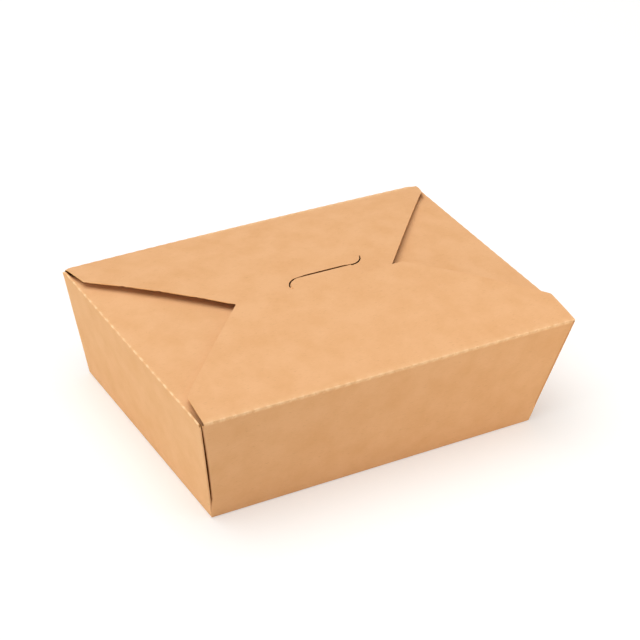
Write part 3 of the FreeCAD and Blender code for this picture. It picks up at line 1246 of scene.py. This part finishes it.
            bench.pick("VERT", lambda vertex: warp.side.out(vertex.co) > 0)
            bench.place(bow)
        for pinch in self.pinches:
            def press(point: Vector, pinch: Pinch = pinch) -> Vector:
                """Presses a rim corner down, fading away from it."""
                share = smooth_step(1 - (point - Vector(pinch.place)).length / pinch.reach)
                return point + Vector((0.0, 0.0, -pinch.down)) * share

            bench.pick("VERT", lambda vertex: (
                (vertex.co - Vector(pinch.place)).length < pinch.reach))
            bench.place(press)

    def lower_front_rim(self, bench: Bench) -> None:
        """Ends the front wall below its fold, where the front flap's sheet carries on.

        Args:
            bench: the sheet under edit.
        """
        seam = self.sizes.rim - self.sizes.seam_drop
        squarely = -0.98
        bench.pick("FACE", lambda face: Side.FRONT.faces(face.normal))
        bpy.ops.mesh.bisect(plane_co=(0, 0, seam), plane_no=(0, 0, 1), threshold=CUT_SNAP)
        bench.pick("FACE", lambda face: (
            face.normal.y < squarely and face.calc_center_median().z > seam))
        bpy.ops.mesh.delete(type="FACE")

    def cut_slit(self, piece: bpy.types.Object) -> None:
        """Cuts the lock slit through the rear flap.

        Args:
            piece: the tray as an object.
        """
        path = self.slit.path()
        spots = [spot for spot, _ in path]
        runs = [(after - before).normalized() for before, after in zip(spots, spots[1:])]
        headings = [runs[0]] + [(one + two).normalized() for one, two in zip(runs, runs[1:])]
        headings.append(runs[-1])
        across = [Vector((-heading.y, heading.x)) for heading in headings]
        low, high = (self.sizes.rim + height for height in self.cutter_span)
        bpy.ops.mesh.primitive_cube_add(size=1, location=(0, 0, (low + high) / 2),
                                        scale=(MM, MM, high - low))
        bench = Bench("lock_slit_cutter")

        def section(number: int, before: int) -> Rule:
            """Rule that lays the section of one step.

            Args:
                number: the step.
                before: the step where the points are now, or -1 on the cube as it was added.

            Returns:
                The rule, which keeps each point's side and height.
            """
            def lay(point: Vector) -> Vector:
                """Lays a corner of the section.

                Args:
                    point: where it was in the section before.

                Returns:
                    Where it goes.
                """
                off = point.y if before < 0 else (point.xy - spots[before]).dot(across[before])
                spot = spots[number] + across[number] * math.copysign(1.0, off) * path[number][1]
                return spot.to_3d() + Vector((0, 0, point.z))
            return lay

        laid, snug = 2 * MM, 1.01 * path[1][1]
        bench.pick("VERT", lambda vertex: vertex.co.x < 0)
        bench.place(section(0, -1))
        bench.pick("VERT", lambda vertex: (vertex.co.xy - spots[0]).length > laid)
        bench.place(section(1, -1))
        bench.pick("FACE", lambda face: abs(face.normal.z) < 0.5 and all(
            (vertex.co.xy - spots[1]).length < snug for vertex in face.verts))
        bench.grow(section(number, number - 1) for number in range(2, len(path)))
        bpy.ops.mesh.select_all(action="SELECT")
        bpy.ops.mesh.normals_make_consistent(inside=False)
        cutter = bench.finish()
        # The slit's cut faces take the cut edge's colour darkened into painted shade.
        cutter.data.materials.append(SLIT_EDGE_PAINTED_SHADE.material())
        apply_modifier(piece, "BOOLEAN", {
            "operation": "DIFFERENCE", "solver": "EXACT", "object": cutter,
            "material_mode": "TRANSFER"})
        bpy.data.objects.remove(cutter)

    def build(self) -> bpy.types.Object:
        """Folds the whole tray.

        Returns:
            The finished sheet with its thickness.
        """
        bench = self.start()
        self.open_corners(bench)
        self.fold_rear_flap(bench)
        bench.set_aside(self.above_walls)
        self.fold_end_flap(bench, Side.LEFT)
        self.fold_end_flap(bench, Side.RIGHT)
        bench.bring_back()
        self.lower_front_rim(bench)
        self.bulge(bench)
        self.warp_rim(bench)
        piece = self.thicken(bench)
        self.cut_slit(piece)
        self.paint(piece)
        return piece


@dataclass
class FrontFlap(BoardSheet):
    """The flap that lies on top, with the tongue that locks into the slit."""

    root: Pair = (2.6 * MM, 0.7 * MM)  # insets at the left and the right
    corner_left: Pair = (-107.9 * MM, -58.0 * MM)
    corner_right: Pair = (109.5 * MM, -55.5 * MM)
    edge_half: float = 50.2 * MM
    edge: float = -2.2 * MM  # how far behind the middle the straight edge lies
    tongue_left: float = -16.5 * MM
    tongue_right: float = 23.1 * MM
    tongue_inside: float = 0.8 * MM  # room between the tongue and the slit's left hook
    tongue_short: float = 1.4 * MM  # so much before the solids' tongue it ends
    tongue_bend: float = 0.8 * MM  # radius of the bend down into the slit
    tongue_turn: float = math.radians(80)
    tongue_drop: float = 3.0 * MM
    tongue_lean: float = 0.1 * MM  # further back over its drop
    tongue_rows: int = 5
    rounding: float = 2.0 * MM
    slit: LockSlit = LockSlit()

    def start(self, fold: RimFold, wall: Pair) -> Bench:
        """Makes the strip of the front wall between the seam and the fold.

        Args:
            fold: the front rim's fold.
            wall: how far the wall reaches to the left and right.

        Returns:
            The sheet under edit.
        """
        sizes = self.sizes

        def lay(point: Vector, out: float, height: float) -> Vector:
            """Where a point of the strip goes at a distance out and a height."""
            return Vector((point.x * (wall[0] if point.x < 0 else wall[1]), -out, height))

        bpy.ops.mesh.primitive_grid_add(x_subdivisions=self.columns, y_subdivisions=1, size=2)
        bench = Bench("kraft_front_flap")
        foot = fold.fold_points(self.fold_steps)[0]
        seam = sizes.rim - sizes.seam_drop
        bench.pick("VERT", lambda vertex: vertex.co.y > 0)
        bench.place(lambda point: lay(point, foot.x, foot.y))
        bench.pick("VERT", lambda vertex: vertex.co.y < -0.5)
        bench.place(lambda point: lay(point, sizes.width_at(seam), seam))
        return bench

    def build(self, wall: Pair) -> bpy.types.Object:
        """Folds the flap.

        Args:
            wall: how far the front wall reaches to the left and right between its corners.

        Returns:
            The finished flap.
        """
        sizes = self.sizes
        fold = self.long_bow(Side.FRONT)
        bench = self.start(fold, wall)
        foot, *_, top = fold.fold_points(self.fold_steps)
        bench.pick("EDGE", lambda edge: edge.is_boundary and all(
            abs(vertex.co.z - foot.y) < SAME for vertex in edge.verts))
        left, right = (sizes.half_length - inset for inset in self.root)
        bench.grow(self.fold_rules(fold, self.widen(wall, (left, right)))[1:])
        bench.grow(self.bow_rules(fold, spaced(top.x, -self.edge, self.flap_rows)))
        corners = [(right, -top.x), self.corner_right, (self.edge_half, self.edge),
                   (-self.edge_half, self.edge), self.corner_left, (-left, -top.x)]
        self.trim_outline(bench, self.above_walls, corners, self.rounding)
        self.grow_tongue(bench, fold)
        piece = self.thicken(bench)
        self.paint(piece)
        return piece

    def grow_tongue(self, bench: Bench, fold: RimFold) -> None:
        """Lets the tongue run on from the flap's edge and down through the slit.

        Args:
            bench: the sheet under edit.
            fold: the front rim's fold, with the flap's bow.
        """
        edge_strip = -5 * MM
        for side in (self.tongue_left, self.tongue_right):
            bench.pick("FACE", lambda face: face.calc_center_median().y > edge_strip)
            bpy.ops.mesh.bisect(plane_co=(side, 0, 0), plane_no=(1, 0, 0), threshold=CUT_SNAP)
        bench.pick("EDGE", lambda edge: edge.is_boundary and all(
            abs(vertex.co.y - self.edge) < NEAR
            and self.tongue_left - NEAR < vertex.co.x < self.tongue_right + NEAR
            for vertex in edge.verts))
        bend_start = self.sizes.tongue_end - self.tongue_short - self.tongue_bend
        spots = fold.bow_points(spaced(-self.edge, -bend_start, self.tongue_rows))
        last = spots[-1]
        for turn in spaced(0.0, self.tongue_turn, self.tongue_rows):
            spots.append(Vector((last.x - self.tongue_bend * math.sin(turn),
                                 last.y - self.tongue_bend * (1 - math.cos(turn)))))
        spots.append(spots[-1] - Vector((self.tongue_lean, self.tongue_drop)))
        lefts = [self.tongue_left] + [self.left_limit(-spot.x) for spot in spots]
        bench.grow([self.row_at(spot, before, left)
                    for spot, before, left in zip(spots, lefts, lefts[1:])])

    def left_limit(self, y: float) -> float:
        """Finds the tongue's left side, just inside the slit's left hook.

        Args:
            y: how far behind the middle.

        Returns:
            Where along the box the side lies.
        """
        centre = self.slit.left_centre()
        radius = self.slit.hook - self.tongue_inside
        across = max(0.0, radius ** 2 - (y - centre.y) ** 2)
        return centre.x - math.sqrt(across)

    def row_at(self, spot: Vector, before: float, left: float) -> Rule:
        """Rule that lays a row of the tongue, moving its left side from one place to another."""
        stretch = (self.tongue_right - left) / (self.tongue_right - before)
        return lambda point: Vector((
            self.tongue_right + (point.x - self.tongue_right) * stretch, -spot.x, spot.y))


@dataclass(frozen=True)
class PhotoCamera:
    """Where the photograph was taken from."""

    azimuth: float = math.radians(-33.991)
    elevation: float = math.radians(32.893)
    roll: float = math.radians(5.383)
    distance: float = 1.0894
    target: Spot = (0.01735, 0.02161, 0.0317)
    lens: float = 113.35
    sensor: float = 36.0
    clip_end: float = 20.0

    def build(self) -> None:
        """Sets the scene's camera."""
        back = Vector((
            math.sin(self.azimuth) * math.cos(self.elevation),
            -math.cos(self.azimuth) * math.cos(self.elevation), math.sin(self.elevation)))
        right = (-back).cross(Vector((0, 0, 1))).normalized()
        up = back.cross(right)
        turned_right = right * math.cos(self.roll) + up * math.sin(self.roll)
        turned_up = up * math.cos(self.roll) - right * math.sin(self.roll)
        data = bpy.data.cameras.new("photo_camera")
        data.lens, data.sensor_width, data.clip_end = self.lens, self.sensor, self.clip_end
        camera = bpy.data.objects.new("photo_camera", data)
        bpy.context.scene.collection.objects.link(camera)
        turn = Matrix((turned_right, turned_up, back)).transposed().to_4x4()
        camera.matrix_world = Matrix.Translation(Vector(self.target) + back * self.distance) @ turn
        bpy.context.scene.camera = camera


@dataclass(frozen=True)
class Lamp:
    """A round soft light that faces the box, with its share of the light on a face-on surface."""

    name: str
    colour: str
    direction: Spot
    share: float
    distance: float
    size: float

    def build(self) -> None:
        """Sets the light up."""
        data = bpy.data.lights.new(self.name, "AREA")
        data.shape, data.size, data.color = "DISK", self.size, linear(self.colour)[:3]
        data.energy = math.pi ** 2 * self.share * self.distance ** 2
        light = bpy.data.objects.new(self.name, data)
        bpy.context.scene.collection.objects.link(light)
        direction = Vector(self.direction).normalized()
        light.location = direction * self.distance
        light.rotation_euler = direction.to_track_quat("Z", "Y").to_euler()


@dataclass(frozen=True)
class Studio:
    """Soft daylight-like studio: a light overhead, two weaker ones, a sky and a white floor."""

    lamps: tuple[Lamp, ...] = (
        Lamp("key_light", "#ffffff", (-0.26, 0.10, 1.0), 0.81, 3.0, 3.2),
        Lamp("left_light", "#f2ffff", (-1.0, -0.08, 0.065), 0.325, 3.0, 0.35),
        Lamp("front_light", "#fff2da", (0.56, -0.60, 0.13), 0.285, 0.85, 0.2),
    )
    fill: float = 0.35  # strength of the sky on the box
    floor_size: float = 8.0
    floor_colour: str = "#dedddb"
    floor_lift: float = 0.34  # what the camera sees of the floor's own glow

    def build(self) -> None:
        """Sets light, sky and floor."""
        bpy.context.scene.view_settings.view_transform = "Standard"
        for lamp in self.lamps:
            lamp.build()
        self.sky()
        self.floor()

    def sky(self) -> None:
        """Even fill light; camera and mirror rays see plain white."""
        world = bpy.data.worlds.new("studio_sky")
        bpy.context.scene.world = world
        world.use_nodes = True
        nodes = NodeSheet(world.node_tree)
        rays = nodes.add("ShaderNodeLightPath").outputs
        seen = rays["Is Camera Ray"]
        for kind in ("Is Glossy Ray", "Is Transmission Ray"):
            seen = nodes.add("ShaderNodeMath", {"operation": "MAXIMUM"}, {
                0: seen, 1: rays[kind]}).outputs[0]
        fill, white = (nodes.add("ShaderNodeBackground", {}, {
            "Color": WHITE, "Strength": strength}).outputs[0] for strength in (self.fill, 1.0))
        mixed = nodes.add("ShaderNodeMixShader", {}, {0: seen, 1: fill, 2: white}).outputs[0]
        nodes.add("ShaderNodeOutputWorld", {}, {"Surface": mixed})

    def floor(self) -> None:
        """Pale floor that the camera sees as white except in the box's shadow."""
        bpy.ops.mesh.primitive_plane_add(size=self.floor_size)
        floor = bpy.context.object
        floor.name = "studio_floor"
        material = bpy.data.materials.new("studio_paper")
        material.use_nodes = True
        nodes = NodeSheet(material.node_tree)
        rays = nodes.add("ShaderNodeLightPath")
        paper = nodes.add("ShaderNodeBsdfDiffuse", {}, {
            "Color": linear(self.floor_colour)}).outputs[0]
        lift = nodes.add("ShaderNodeMath", {"operation": "MULTIPLY"}, {
            0: rays.outputs["Is Camera Ray"], 1: self.floor_lift}).outputs[0]
        glow = nodes.add("ShaderNodeEmission", {}, {
            "Color": WHITE, "Strength": lift}).outputs[0]
        both = nodes.add("ShaderNodeAddShader", {}, {0: paper, 1: glow}).outputs[0]
        nodes.add("ShaderNodeOutputMaterial", {}, {"Surface": both})
        floor.data.materials.append(material)


def main() -> None:
    """Builds the box, its light and its camera."""
    logging.basicConfig(level=logging.INFO, format="%(message)s")
    sizes = BoxSizes.from_frame()
    bpy.ops.object.select_all(action="DESELECT")
    tray_sheet = Tray(sizes)
    tray = tray_sheet.build()
    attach(tray, "box_body")
    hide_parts("box_body")
    flap = FrontFlap(sizes).build(tray_sheet.wall_reach(Side.FRONT))
    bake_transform(flap)
    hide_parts("front_flap")
    Studio().build()
    PhotoCamera().build()


if __name__ == "__main__":
    main()
